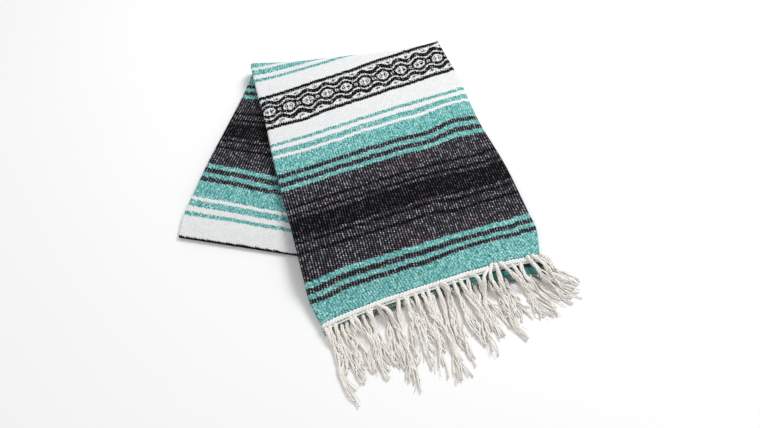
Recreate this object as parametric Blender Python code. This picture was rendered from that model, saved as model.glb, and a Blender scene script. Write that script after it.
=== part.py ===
"""A striped falsa blanket, folded into a long strip of eight layers and laid back over itself.

The strip starts at its end fold, runs back under the upper pass, turns over at an oblique top fold
and comes forward again to the hems and the fringe. Lengths are in metres, +Z is up, and the origin
is the middle of the footprint, on the surface that the blanket lies on.
"""
import math
import random
from collections import namedtuple

import bmesh
import bpy
from mathutils import Vector

# Driving sizes
MM = 0.001
PASS = 16 * MM            # eight layers of cloth, one pass of the folded strip
CLOTH = 2 * MM            # one layer
GAP = 0.3 * MM            # between neighbouring pieces
SLIT = 0.2 * MM           # from the middle of the slit between the passes to either face
LEVEL = 34 * MM           # the upper pass stays level this far past the edge of the lower one
SLOPE = 60 * MM           # and comes down to the floor over this far
HEM_RISE = 80 * MM        # behind the hem the upper pass rises to its full height over this far
TUCK = 30 * MM            # the lower stretch reaches this far in under the upper pass
PRESSED = 0.7             # most of a side fold's radius that the cloth takes up
GROOVE = 0.5 * MM         # the groove between two sets ends this far short of the fold's centre
FOOTPRINT_MIDDLE = Vector((-14.7 * MM, 35 * MM))

# Sections of the upper pass, from the hem to the top fold. The edges are points on the floor plan,
# bow moves the middle of a section along the strip, and thick is the height of the eight layers.
Section = namedtuple("Section", "left_x left_y right_x right_y bow thick")
UPPER = [
    Section(-81, -181.5, 233, -74.5, 9.5, 12.5),
    Section(-98, -150, 233, -33, 4, 15),
    Section(-108, -118, 224, -3, 0, 16),
    Section(-131, -38, 198, 82, 0, 16),
    Section(-152, 30, 168, 156, 0, 16),
    Section(-169, 90, 145, 218, 0, 16),
    Section(-184, 148, 124, 275, 0, 16),
    Section(-203, 210, 112, 306, -4, 16),
    Section(-221, 273, 105, 326, -10, 16),
]

# Sections of the lower pass, from the top fold to the end fold, which is thinner
LOWER = [
    Section(-221, 273, 105, 326, -10, 16),
    Section(-233, 220, 88, 232, -2, 16),
    Section(-252, 155, 66, 128, 0, 16),
    Section(-272, 88, 44, 26, 0, 16),
    Section(-288, 25, 30, -36, 0, 15),
    Section(-297, -6, 24, -64, 0, 11.5),
    Section(-300, -39, 18, -93, 0, 8),
]

# The lower set of layers sticks out past the upper set by this much at the left and at the right
SHOWN_LEFT = 5 * MM
SHOWN_RIGHT = 28 * MM

# Steps of the hidden layers at the hem: how far they reach and their share of a set's height
STEP = 1.6 * MM
STEP_HIGH = 0.4
LIP = 0.33
LIP_REACH = 1 * MM
BEVEL = 0.8 * MM
BEVEL_END = 1.6 * MM

# Twined edges and fringe
HEM_WIDE = 6.4 * MM
HEM_THICK = 3.4 * MM
HEM_DROP = 0.3 * MM
HEM_MARGIN = 0.004
HEM_STATIONS = 30
HEM_SIDES = 8
HEM_TAPER = 0.6
TASSELS = 25
ROOT_WIDE = 3.6 * MM
ROOT_THICK = 1.7 * MM
BELLY_WIDE = 4.4 * MM
BELLY_THICK = 2.6 * MM
SWAY = 0.8 * MM
UPPER_LENGTH = 0.98
LOWER_LENGTH = 1.02
UNEVEN = 0.2              # the shortest tassels lack this share of their length
WAVES = 6
WAVE_START = 0.8
WAVE_HIGH = 1.6 * MM
WAVE_AT = 100 * MM        # distance from the hem at which the waves are that high
AHEAD = 2 * MM            # step along a tassel that gives its direction
FRINGE_MARGIN = 0.02
STRIP_BACK = 2.2 * MM
STRIP_DEEP = 3 * MM
FLOOR_CLEAR = 0.5 * MM
THINNED = 0.5             # share of the root's size that a tip has lost
ROOT_LEFT = 0.7           # share of the root's size that is taken off the belly
BELLY_PLACE = 0.8         # under 1 puts the belly nearer the root

# Where a tassel of the upper set comes down: past the twined edge, and share of its height
Fall = namedtuple("Fall", "past high")
FALL = [Fall(2 * MM, 1), Fall(11 * MM, 0.62), Fall(21 * MM, 0.3)]
LANDED = 31 * MM
LYING_STEPS = 3
LOWER_STEPS = 6

# Fringe along the hem: how far its tassels lean to the right, in degrees, and reach, in millimetres
Fan = namedtuple("Fan", "across lean reach")
FRINGE = [
    Fan(0.00, 3, 104),
    Fan(0.25, 1, 122),
    Fan(0.50, -4, 124),
    Fan(0.75, 6, 107),
    Fan(1.00, 24, 74),
]

SAME_POINT = 1e-7
SHARP = 50                # degrees between faces that do not blend
TUCK_TRIES = 200
FACE_POINTS = 15
TUCKED_POINTS = 5
STEPS_PER_SECTION = 2
STEP_IN = 0.01            # share of a section's spacing, at least the gap between pieces
TURN_STEPS = 8


# Splines through the sections
def between(rows, place):
    """Smooth in-between of a table's rows at a row position such as 2.5."""
    last = len(rows) - 1
    start = min(int(place), last - 1)
    share = place - start
    before = rows[max(start - 1, 0)]
    first = rows[start]
    second = rows[start + 1]
    after = rows[min(start + 2, last)]
    values = []
    for p0, p1, p2, p3 in zip(before, first, second, after):
        slope1 = (p2 - p0) / 2 if start > 0 else p2 - p1
        slope2 = (p3 - p1) / 2 if start + 2 <= last else p2 - p1
        cubic = 2 * p1 - 2 * p2 + slope1 + slope2
        square = -3 * p1 + 3 * p2 - 2 * slope1 - slope2
        values.append(((cubic * share + square) * share + slope1) * share + p1)
    return type(first)(*values)


def stations(rows):
    """Row positions at which a pass is cut into sections."""
    count = (len(rows) - 1) * STEPS_PER_SECTION
    return [step / STEPS_PER_SECTION for step in range(count + 1)]


def plan(section, across):
    """Point of the floor plan at a share of the way from the left edge to the right edge."""
    left = Vector((section.left_x, section.left_y)) * MM
    right = Vector((section.right_x, section.right_y)) * MM
    along = (right - left).normalized()
    forward = Vector((-along.y, along.x))
    belly = 1 - abs(2 * across - 1) ** 3
    return left.lerp(right, across) + forward * (section.bow * MM * belly) - FOOTPRINT_MIDDLE


def width(section):
    return math.hypot(section.right_x - section.left_x, section.right_y - section.left_y) * MM


def ease(share):
    share = min(max(share, 0.0), 1.0)
    return share * share * (3 - 2 * share)


def outside(point, first, second):
    """Distance of a plan point from the line through two others, positive on its left."""
    along = (second - first).normalized()
    return (point - first).dot(Vector((-along.y, along.x)))


TOP_RIGHT = plan(LOWER[0], 1)
END_RIGHT = plan(LOWER[-1], 1)
END_LEFT = plan(LOWER[-1], 0)
HEM_LEFT = plan(UPPER[0], 0)
HEM_RIGHT = plan(UPPER[0], 1)


def bed(point):
    """Height of the slit between the passes: down to the floor beside the lower pass and at the hem."""
    beside = max(-outside(point, END_RIGHT, TOP_RIGHT) - LEVEL, 0)
    before = max(-outside(point, END_LEFT, END_RIGHT) - LEVEL, 0)
    drop = ease(math.hypot(beside, before) / SLOPE)
    behind = outside(point, HEM_LEFT, HEM_RIGHT) - UPPER[0].bow * MM
    return (PASS + SLIT) * (1 - drop) * ease(behind / HEM_RISE) - SLIT


# Where a point of the strip lies. Height runs out of the slit between the passes
def on_upper(section, across, height):
    point = plan(section, across)
    return Vector((point.x, point.y, bed(point) + height))


def on_lower(section, across, height):
    point = plan(section, across)
    return Vector((point.x, point.y, section.thick * MM - height))


def in_turn(section, across, height, angle):
    """The strip turns about the far end of the slit, back and down."""
    point = plan(section, across)
    left = plan(section, 0)
    right = plan(section, 1)
    along = (right - left).normalized()
    back = Vector((-along.y, along.x))
    point = point + back * (height * math.cos(angle))
    return Vector((point.x, point.y, PASS + height * math.sin(angle)))


def on_end(section, across, height, angle):
    """The end fold turns about the middle of its own height."""
    point = plan(section, across)
    along = (plan(section, 1) - plan(section, 0)).normalized()
    out = Vector((along.y, -along.x))
    middle = section.thick * MM / 2
    arm = middle - height
    point = point + out * (arm * math.cos(angle))
    return Vector((point.x, point.y, middle + arm * math.sin(angle)))


# Outlines across the strip, as pairs of distance from the left edge and height
def bulge(centre_x, centre_height, radius, degrees, side):
    """Points round a side fold. Side is -1 on the left edge and 1 on the right edge."""
    points = []
    for angle in degrees:
        turn = math.radians(angle)
        points.append((centre_x + side * radius * math.cos(turn), centre_height + radius * math.sin(turn)))
    return points


def spread(first, last, count):
    """Distances strictly between two ends."""
    return [first + (last - first) * (step + 1) / (count + 1) for step in range(count)]


def wall(radius):
    """Thickness of the cloth at a side fold, less where the fold is pressed thin."""
    return min(CLOTH, PRESSED * radius)


COVER_ARC = (-60, -20, 20, 55, 90)


def cover_outline(wide, low, high, inside):
    """Outer or inner points of the cloth over a set of four layers, with both its side folds."""
    radius = (high - low) / 2
    inset = wall(radius) if inside else 0
    middle = (high + low) / 2
    left = bulge(radius, middle, radius - inset, COVER_ARC, -1)
    right = bulge(wide - radius, middle, radius - inset, COVER_ARC, 1)
    face = [(x, high - inset) for x in spread(radius, wide - radius, FACE_POINTS)]
    return left + face + right[::-1]


def drawn_in(x, wide, radius, share):
    """Distance across the strip, with a point on a side fold drawn in towards the fold's centre."""
    near = min(max(x, radius), wide - radius)
    return near + (x - near) * share


def layers_outline(wide, thick, wall_above, wall_below, cut, upper_share=1.0, lower_share=1.0):
    """Ring round the hidden layers of a pass: the outer set above, the inner set by the slit below.

    A wall over the outer set or under the inner set takes its thickness off it. The wall under the
    inner set ends at the distance cut from the left edge. The shares squeeze a set where it is stepped.
    """
    middle = thick / 2
    low = SLIT
    outer_radius = (thick - middle) / 2
    inner_radius = (middle - low) / 2
    outer_inset = wall(outer_radius) + GAP if wall_above else 0
    inner_inset = wall(inner_radius) + GAP if wall_below else 0
    outer_arc = (90, 45, 0, -60)
    inner_arc = (55, 15, -20, -55, -90)
    seat = outer_radius - GROOVE

    def inner_side(side):
        inset = inner_inset if side < 0 else 0
        centre = inner_radius if side < 0 else wide - inner_radius
        return bulge(centre, (low + middle) / 2, inner_radius - inset, inner_arc, side)

    def outer_side(side):
        centre = outer_radius if side < 0 else wide - outer_radius
        points = bulge(centre, (middle + thick) / 2, outer_radius - outer_inset, outer_arc, side)
        return points + [(seat if side < 0 else wide - seat, middle)]

    left = outer_side(-1) + inner_side(-1)
    right = outer_side(1) + inner_side(1)
    under = [(x, low + inner_inset) for x in spread(inner_radius, cut, TUCKED_POINTS)]
    under += [(cut, low + inner_inset), (cut + GAP, low)]
    rest = FACE_POINTS - 2 - len(under)
    under += [(x, low) for x in spread(cut + GAP, wide - inner_radius, rest)]
    face = [(x, thick - outer_inset) for x in spread(outer_radius, wide - outer_radius, FACE_POINTS)]
    groove = len(outer_arc)
    ring = left + under + right[::-1] + face[::-1]
    ring = ring[groove:] + ring[:groove]
    stepped = []
    for x, height in ring:
        if height > middle:
            x = drawn_in(x, wide, outer_radius, upper_share)
            height = middle + (height - middle) * upper_share
        x = drawn_in(x, wide, inner_radius, lower_share)
        height = low + (height - low) * lower_share
        stepped.append((x, height))
    return stepped


# Meshes and materials
def add_material(name, colour, roughness):
    material = bpy.data.materials.new(name)
    material.use_nodes = True
    shader = material.node_tree.nodes["Principled BSDF"]
    shader.inputs["Base Color"].default_value = (*colour, 1)
    shader.inputs["Roughness"].default_value = roughness
    shader.inputs["Metallic"].default_value = 0
    return material


class Skin:
    """Collects faces whose equal corners are one vertex, and drops faces that have no area."""

    def __init__(self):
        self.mesh = bmesh.new()
        self.corners = {}

    def corner(self, point):
        key = tuple(round(value / SAME_POINT) for value in point)
        if key not in self.corners:
            self.corners[key] = self.mesh.verts.new(point)
        return self.corners[key]

    def face(self, points):
        corners = []
        for point in points:
            corner = self.corner(point)
            if corner not in corners:
                corners.append(corner)
        if len(corners) > 2:
            self.mesh.faces.new(corners)

    def quad(self, a, b, c, d):
        """Two triangles that share the shorter diagonal, so that near parallel skins split alike."""
        if (a - c).length < (b - d).length:
            self.face((a, b, c))
            self.face((a, c, d))
        else:
            self.face((a, b, d))
            self.face((b, c, d))

    def loft(self, rings):
        for first, second in zip(rings[:-1], rings[1:]):
            for index in range(len(first)):
                after = (index + 1) % len(first)
                self.quad(first[index], first[after], second[after], second[index])

    def cap(self, ring, pointed):
        """Close a ring with faces across it, from its first point or from its closing edge."""
        shift = 1 if pointed else 0
        for index in range(len(ring) // 2):
            here = ring[(shift - 1 - index) % len(ring)]
            there = ring[(shift - 2 - index) % len(ring)]
            self.face((ring[index], ring[index + 1], there, here))

    def close(self, rings, pointed):
        self.loft(rings)
        self.cap(rings[0], pointed)
        self.cap(rings[-1], pointed)

    def finish(self, name, material, collection):
        bmesh.ops.recalc_face_normals(self.mesh, faces=self.mesh.faces)
        mesh = bpy.data.meshes.new(name)
        self.mesh.to_mesh(mesh)
        self.mesh.free()
        mesh.materials.append(material)
        mesh.shade_smooth()
        mesh.set_sharp_from_angle(angle=math.radians(SHARP))
        piece = bpy.data.objects.new(name, mesh)
        collection.objects.link(piece)
        return piece


# The two stretches of cloth that show
def wall_ring(place, outline, inner):
    """Ring round a wall: out along its outer points and back along its inner ones."""
    return [place(x, height) for x, height in outline] + [place(x, height) for x, height in inner[::-1]]


def upper_stretch():
    rings = []

    def add(section, spot):
        wide = width(section)
        thick = section.thick * MM
        outer = cover_outline(wide, thick / 2, thick, False)
        inner = cover_outline(wide, thick / 2, thick, True)
        rings.append(wall_ring(lambda x, height: spot(section, x / wide, height), outer, inner))

    for place in stations(UPPER):
        add(between(UPPER, place), on_upper)
    for step in range(1, TURN_STEPS + 1):
        angle = math.pi / 2 - math.pi * step / TURN_STEPS
        add(UPPER[-1], lambda section, across, height: in_turn(section, across, height, angle))
    skin = Skin()
    skin.close(rings, pointed=False)
    return skin


def tuck_line(section):
    """Distance from the lower pass's left edge to the hidden edge of the stretch that shows on it."""
    wide = width(section)
    best = wide / 2
    for step in range(TUCK_TRIES):
        across = step / TUCK_TRIES
        point = plan(section, across)
        if beside_upper(point) < -TUCK:
            best = across * wide
            break
    return min(max(best, TUCK), wide - TUCK)


def beside_upper(point):
    """How far a plan point lies to the left of the upper pass."""
    edge = [plan(section, 0) for section in UPPER]
    best = None
    for first, second in zip(edge[:-1], edge[1:]):
        along = second - first
        share = min(max((point - first).dot(along) / along.length_squared, 0), 1)
        offset = point - first.lerp(second, share)
        if best is None or offset.length < abs(best):
            side = along.x * offset.y - along.y * offset.x
            best = math.copysign(offset.length, side)
    return best


def lower_cover(wide, thick, cut, inside):
    """Outer or inner points of the cloth over the inner set, with its left side fold."""
    middle = thick / 2
    radius = (middle - SLIT) / 2
    inset = wall(radius) if inside else 0
    centre = (middle + SLIT) / 2
    fold = bulge(radius, centre, radius - inset, (60, 20, -20, -55, -90), -1)
    face = [(x, SLIT + inset) for x in spread(radius, cut, FACE_POINTS // 2)]
    return fold + face + [(cut, SLIT + inset)]


def lower_stretch():
    rings = []

    def add(section, spot):
        wide = width(section)
        thick = section.thick * MM
        cut = tuck_line(section)
        outer = lower_cover(wide, thick, cut, False)
        inner = lower_cover(wide, thick, cut, True)
        rings.append(wall_ring(lambda x, height: spot(section, x / wide, height), outer, inner))

    for place in stations(LOWER):
        add(between(LOWER, max(place, 2 * STEP_IN)), on_lower)
    for step in range(1, TURN_STEPS + 1):
        angle = math.pi / 2 - math.pi * step / TURN_STEPS
        add(LOWER[-1], lambda section, across, height: on_end(section, across, height, angle))
    skin = Skin()
    skin.close(rings, pointed=False)
    return skin


# The hidden layers of both passes, in one solid that turns over at the top fold
def shown(across):
    return SHOWN_LEFT + (SHOWN_RIGHT - SHOWN_LEFT) * across ** 2


def past_hem(across, distance, height, aside=0.0):
    """Point a distance in front of the upper set's hem, and aside along it."""
    hem = UPPER[0]
    along = (plan(hem, 1) - plan(hem, 0)).normalized()
    out = Vector((along.y, -along.x))
    point = plan(hem, across) + out * distance + along * aside
    return Vector((point.x, point.y, height))


def folded_layers():
    rings = []
    hem = UPPER[0]
    wide = width(hem)
    thick = hem.thick * MM
    even = wide * (TUCKED_POINTS + 1) / (FACE_POINTS - 1)

    def hem_ring(distance, upper_share, lower_share, follow):
        outline = layers_outline(wide, thick, True, False, even, upper_share, lower_share)
        ring = []
        for x, height in outline:
            reach = distance + (shown(x / wide) if follow else 0)
            ring.append(past_hem(x / wide, reach, height - SLIT))
        return ring

    rings.append(hem_ring(LIP_REACH, 0, LIP, True))
    rings.append(hem_ring(0, 0, LIP, True))
    rings.append(hem_ring(-BEVEL, 0, 1, True))
    rings.append(hem_ring(STEP, 0, 1, False))
    rings.append(hem_ring(STEP - BEVEL, STEP_HIGH, 1, False))
    rings.append(hem_ring(-GAP, STEP_HIGH, 1, False))
    rings.append(hem_ring(-GAP - BEVEL_END, 1, 1, False))

    def add(section, spot, wall_above, wall_below, cut):
        wide = width(section)
        outline = layers_outline(wide, section.thick * MM, wall_above, wall_below, cut)
        rings.append([spot(section, x / wide, height) for x, height in outline])

    tucked = tuck_line(LOWER[0])
    for place in stations(UPPER)[1:]:
        section = between(UPPER, place)
        share = place / (len(UPPER) - 1)
        add(section, on_upper, True, False, even + (tucked - even) * share)
    top = UPPER[-1]
    for step in range(1, TURN_STEPS + 1):
        angle = math.pi / 2 - math.pi * step / TURN_STEPS

        def spot(section, across, height):
            in_slit = height < SLIT + SAME_POINT and step < TURN_STEPS
            return in_turn(section, across, height, 0 if in_slit else angle)

        add(top, spot, True, False, tucked)
    start = between(LOWER, STEP_IN)
    add(start, on_lower, False, False, tuck_line(start) + CLOTH)
    for place in stations(LOWER):
        section = between(LOWER, min(max(place, STEP_IN), len(LOWER) - 1 - STEP_IN))
        add(section, on_lower, False, True, tuck_line(section) + CLOTH)
    skin = Skin()
    skin.loft(rings)
    skin.cap(rings[0], pointed=True)
    skin.face(rings[-1])
    return skin


# Twined edges
def twined_edge(lower):
    """Flattened cord along the end of a set of layers, tapered at both ends."""
    thick = UPPER[0].thick * MM
    top = thick / 2 if lower else thick
    centre_height = top - HEM_DROP - HEM_THICK / 2
    rings = []
    for step in range(HEM_STATIONS + 1):
        across = HEM_MARGIN + (1 - 2 * HEM_MARGIN) * step / HEM_STATIONS
        distance = GAP + HEM_WIDE / 2 + (shown(across) if lower else 0)
        full = 1 if 0 < step < HEM_STATIONS else HEM_TAPER
        ring = []
        for side in range(HEM_SIDES):
            angle = 2 * math.pi * side / HEM_SIDES
            out = math.cos(angle) * HEM_WIDE / 2 * full
            rise = math.sin(angle) * HEM_THICK / 2 * full
            ring.append(past_hem(across, distance + out, centre_height + rise))
        rings.append(ring)
    skin = Skin()
    skin.close(rings, pointed=True)
    return skin


# Fringe
def fan_at(across):
    return between(FRINGE, across * (len(FRINGE) - 1))


def aside_at(across, distance):
    """How far along the hem a tassel has strayed. It is the same for both sets, so none cross."""
    lean = math.radians(fan_at(across).lean)
    wave = math.sin(across * WAVES * math.tau + WAVE_START) * WAVE_HIGH
    return distance * math.tan(lean) + wave * (distance / WAVE_AT) ** 2


def tassel_ring(across, distance, height, wide, thick, sway):
    here = past_hem(across, distance, 0, aside_at(across, distance) + sway)
    ahead = past_hem(across, distance + AHEAD, 0, aside_at(across, distance + AHEAD) + sway)
    along = (ahead - here).normalized()
    side = Vector((-along.y, along.x, 0)) * (wide / 2)
    up = Vector((0, 0, thick / 2))
    centre = here + Vector((0, 0, height))
    return [centre - side - up, centre + side - up, centre + side + up, centre - side + up]


def tassel_route(across, start, high, reach, lower):
    """Distances and heights of a tassel's rings, from its root to its tip on the floor."""
    floor = FLOOR_CLEAR + BELLY_THICK / 2
    if lower:
        steps = range(1, LOWER_STEPS + 1)
        return [(start + (reach - start) * step / LOWER_STEPS, floor) for step in steps]
    edge = shown(across) + GAP + HEM_WIDE
    route = [(edge + fall.past, max(high * fall.high, floor)) for fall in FALL]
    landed = edge + LANDED
    steps = range(LYING_STEPS + 1)
    return route + [(landed + (reach - landed) * step / LYING_STEPS, floor) for step in steps]


def fringe(lower):
    """A narrow strip beside the twined edge, with a row of tassels that grow out of its front."""
    wide = width(UPPER[0])
    thick = UPPER[0].thick * MM
    if lower:
        low, high = FLOOR_CLEAR, FLOOR_CLEAR + ROOT_THICK
    else:
        low, high = thick / 2 + GAP, thick / 2 + GAP + ROOT_THICK
    chance = random.Random(7 if lower else 3)
    shift = 0.75 if lower else 0.25
    centres = [FRINGE_MARGIN + (1 - 2 * FRINGE_MARGIN) * (step + shift) / TASSELS for step in range(TASSELS)]
    half = ROOT_WIDE / 2 / wide
    cuts = [centres[0] - 2 * half]
    for centre in centres:
        cuts += [centre - half, centre + half]
    cuts.append(centres[-1] + 2 * half)

    def back(across):
        return STRIP_BACK + (shown(across) if lower else 0)

    def corners(across):
        start = back(across)
        end = start + STRIP_DEEP
        return [
            past_hem(across, start, low),
            past_hem(across, end, low),
            past_hem(across, end, high),
            past_hem(across, start, high),
        ]

    skin = Skin()
    for index, (first, second) in enumerate(zip(cuts[:-1], cuts[1:])):
        here = corners(first)
        there = corners(second)
        for side in (0, 2, 3):
            after = (side + 1) % 4
            skin.face((here[side], here[after], there[after], there[side]))
        if index % 2 == 0:
            skin.face((here[1], here[2], there[2], there[1]))
            continue
        across = centres[index // 2]
        start = back(across) + STRIP_DEEP
        fan = fan_at(across)
        length = LOWER_LENGTH if lower else UPPER_LENGTH
        reach = fan.reach * MM * (length - UNEVEN * chance.random())
        rings = [[here[1], there[1], there[2], here[2]]]
        route = tassel_route(across, start, (low + high) / 2, reach, lower)
        sway = SWAY * chance.uniform(-1, 1)
        for step, (distance, height) in enumerate(route):
            share = (step + 1) / len(route)
            full = math.sin(math.pi * share ** BELLY_PLACE) if share < 1 else 0
            tip = 1 - THINNED * share
            wide_here = ROOT_WIDE * tip + (BELLY_WIDE - ROOT_WIDE * ROOT_LEFT) * full
            thick_here = ROOT_THICK * tip + (BELLY_THICK - ROOT_THICK * ROOT_LEFT) * full
            rings.append(tassel_ring(across, distance, height, wide_here, thick_here, sway * share))
        skin.loft(rings)
        skin.face(rings[-1])
    skin.face(corners(cuts[0]))
    skin.face(corners(cuts[-1]))
    return skin


def main():
    for old in list(bpy.data.objects):
        bpy.data.objects.remove(old)
    blanket = bpy.data.collections.new("Folded falsa blanket")
    bpy.context.scene.collection.children.link(blanket)
    teal = add_material("teal cloth", (0.16, 0.52, 0.47), 0.9)
    charcoal = add_material("charcoal cloth", (0.05, 0.045, 0.05), 0.92)
    cream = add_material("cream cloth", (0.8, 0.78, 0.72), 0.9)
    upper_stretch().finish("upper_stretch", teal, blanket)
    lower_stretch().finish("lower_stretch", charcoal, blanket)
    folded_layers().finish("folded_layers", teal, blanket)
    twined_edge(lower=False).finish("upper_hem", cream, blanket)
    twined_edge(lower=True).finish("lower_hem", cream, blanket)
    fringe(lower=False).finish("upper_fringe", cream, blanket)
    fringe(lower=True).finish("lower_fringe", cream, blanket)


main()
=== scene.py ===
import math
import random
from collections import namedtuple
from functools import partial

import bpy
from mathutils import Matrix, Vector, noise


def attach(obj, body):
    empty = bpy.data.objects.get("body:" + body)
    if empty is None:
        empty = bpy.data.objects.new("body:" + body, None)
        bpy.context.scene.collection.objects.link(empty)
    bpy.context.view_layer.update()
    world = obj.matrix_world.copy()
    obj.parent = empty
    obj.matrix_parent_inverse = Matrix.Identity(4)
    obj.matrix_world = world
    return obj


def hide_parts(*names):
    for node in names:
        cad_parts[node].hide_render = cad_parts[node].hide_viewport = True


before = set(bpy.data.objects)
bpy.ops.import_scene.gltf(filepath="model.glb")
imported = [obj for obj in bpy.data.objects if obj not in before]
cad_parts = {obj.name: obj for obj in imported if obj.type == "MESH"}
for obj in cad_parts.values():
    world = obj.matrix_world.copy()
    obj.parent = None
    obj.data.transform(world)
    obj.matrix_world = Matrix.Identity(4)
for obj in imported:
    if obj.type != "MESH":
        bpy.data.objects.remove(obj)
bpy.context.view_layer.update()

MM = 0.001
IN_MM = 1000              # from metres

# The folded strip
PASS = 16 * MM            # height of a pass, eight layers of cloth
CLOTH = 2 * MM
SLIT = 0.2 * MM           # between the two passes
LEVEL = 34 * MM           # the upper pass stays level this far past the lower one
SLOPE = 60 * MM           # and then comes down to the surface over this length
HEM_RISE = 80 * MM        # it rises from the surface over this length behind the hem
TUCK = 30 * MM            # the lower stretch goes this far in under the upper pass
FOOTPRINT_MIDDLE = Vector((-14.7 * MM, 35 * MM))

# Sections of the upper pass from hem to top fold, and of the lower pass from top fold to end fold,
# in millimetres: both ends, how far the middle bows towards the top fold, the height of the pass,
# and the distances along the cloth at the left and the right end
Section = namedtuple("Section", "left_x left_y right_x right_y bow thick left_along right_along")
UPPER = [
    Section(-81, -181.5, 233, -74.5, 9.5, 12.5, 0, -5),
    Section(-98, -150, 233, -33, 4, 15, 34, 34),
    Section(-108, -118, 224, -3, 0, 16, 65, 65),
    Section(-131, -38, 198, 82, 0, 16, 138.5, 138.5),
    Section(-152, 30, 168, 156, 0, 16, 212, 212),
    Section(-169, 90, 145, 218, 0, 16, 272, 272),
    Section(-184, 148, 124, 275, 0, 16, 340, 337),
    Section(-203, 210, 112, 306, -4, 16, 405, 372),
    Section(-221, 273, 105, 326, -10, 16, 473, 393),
]
LOWER = [
    Section(-221, 273, 105, 326, -10, 16, 361, 430),
    Section(-233, 220, 88, 232, -2, 16, 307, 340),
    Section(-252, 155, 66, 128, 0, 16, 238, 260),
    Section(-272, 88, 44, 26, 0, 16, 168, 177),
    Section(-288, 25, 30, -36, 0, 15, 108, 114),
    Section(-297, -6, 24, -64, 0, 11.5, 77, 80),
    Section(-300, -39, 18, -93, 0, 8, 41.3, 41.3),
]
BAND_FROM_HEM = 364.3     # mm from the hem to the middle of the diamond band on the upper pass
HEM_BORDER = 8            # mm of plain teal cloth that the weaver ends on
HALF_REPEAT = 233.5       # mm from the middle of a diamond band to the middle of a dark band
SHOWN_LEFT = 5 * MM       # the lower hem stands out this far past the upper one at its left end
SHOWN_RIGHT = 28 * MM     # and this far at its right end

# How finely the cloth is modelled
SHEET_ROWS = 20           # rows of a stretch between two sections
TOP_TURN_ROWS = 18
END_TURN_ROWS = 14
FOLD_STEPS = 9            # steps round a side fold
UPPER_CELLS = 104         # cells across the face of a stretch
LOWER_CELLS = 90
INNER_ROWS = 6
INNER_TURN_ROWS = 10
INNER_CELLS = 24


# Shader maths: a wrapped socket takes part in Python expressions and adds its Math nodes
class Num:
    def __init__(self, shade, socket):
        self.shade = shade
        self.socket = socket

    def math(self, operation, *others):
        return self.shade.number("ShaderNodeMath", {"operation": operation}, self, *others)

    def __add__(self, other):
        return self.math("ADD", other)

    def __radd__(self, other):
        return self.math("ADD", other)

    def __sub__(self, other):
        return self.math("SUBTRACT", other)

    def __rsub__(self, other):
        return self.shade.number("ShaderNodeMath", {"operation": "SUBTRACT"}, other, self)

    def __mul__(self, other):
        return self.math("MULTIPLY", other)

    def __truediv__(self, other):
        return self.math("DIVIDE", other)

    def __lt__(self, other):
        return self.math("LESS_THAN", other)

    def __gt__(self, other):
        return self.math("GREATER_THAN", other)


class Shade:
    """A material and its nodes."""

    def __init__(self, name, roughness=0.9, specular=0.04):
        self.material = bpy.data.materials.new(name)
        self.material.use_nodes = True
        self.tree = self.material.node_tree
        self.shader = self.tree.nodes["Principled BSDF"]
        self.shader.inputs["Roughness"].default_value = roughness
        self.shader.inputs["Specular IOR Level"].default_value = specular

    def connect(self, socket, value):
        """Link an input to another node, or give it a plain value."""
        if isinstance(value, Num):
            value = value.socket
        if isinstance(value, bpy.types.NodeSocket):
            self.tree.links.new(value, socket)
        else:
            socket.default_value = value

    def node(self, kind, settings, *values, **named):
        made = self.tree.nodes.new(kind)
        for key, value in settings.items():
            if key == "stops":
                ramp = made.color_ramp
                while len(ramp.elements) < len(value):
                    ramp.elements.new(1)
                for element, (place, colour) in zip(ramp.elements, value):
                    element.position = place
                    element.color = (*colour, 1)
            elif key == "interpolation":
                made.color_ramp.interpolation = value
            else:
                setattr(made, key, value)
        for key, value in list(enumerate(values)) + list(named.items()):
            self.connect(made.inputs[key], value)
        return made

    def number(self, kind, settings, *values, **named):
        return Num(self, self.node(kind, settings, *values, **named).outputs[0])

    def feed(self, name, source):
        self.connect(self.shader.inputs[name], source)

    def mix(self, share, first, second):
        made = self.node("ShaderNodeMix", {"data_type": "RGBA"})
        for index, value in ((0, share), (6, first), (7, second)):
            self.connect(made.inputs[index], value)
        return made.outputs[2]

    def point(self, x, y, z=0.0):
        return self.node("ShaderNodeCombineXYZ", {}, x, y, z).outputs[0]

    def places(self):
        """The place across and along that a piece carries in its cloth layer."""
        carried = self.node("ShaderNodeUVMap", {"uv_map": "cloth"}).outputs[0]
        split = self.node("ShaderNodeSeparateXYZ", {}, carried)
        return Num(self, split.outputs[0]), Num(self, split.outputs[1])

    def clouds(self, vector, scale, detail=2.0):
        made = self.node("ShaderNodeTexNoise", {}, Vector=vector, Scale=scale, Detail=detail)
        return Num(self, made.outputs["Fac"])

    def chance(self, vector):
        return Num(self, self.node("ShaderNodeTexWhiteNoise", {}, Vector=vector).outputs["Value"])

    def ramp(self, value, stops, interpolation="LINEAR"):
        settings = {"stops": stops, "interpolation": interpolation}
        return self.node("ShaderNodeValToRGB", settings, value).outputs[0]

    def bump(self, height, strength, distance):
        made = self.node("ShaderNodeBump", {}, Height=height, Strength=strength, Distance=distance)
        self.feed("Normal", made.outputs[0])


def srgb(red, green, blue):
    """Linear colour of an everyday 0 to 255 one."""
    values = []
    for value in (red, green, blue):
        value = value / 255
        values.append(value / 12.92 if value < 0.04045 else ((value + 0.055) / 1.055) ** 2.4)
    return tuple(values)


def opaque(red, green, blue):
    return (*srgb(red, green, blue), 1)


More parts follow.
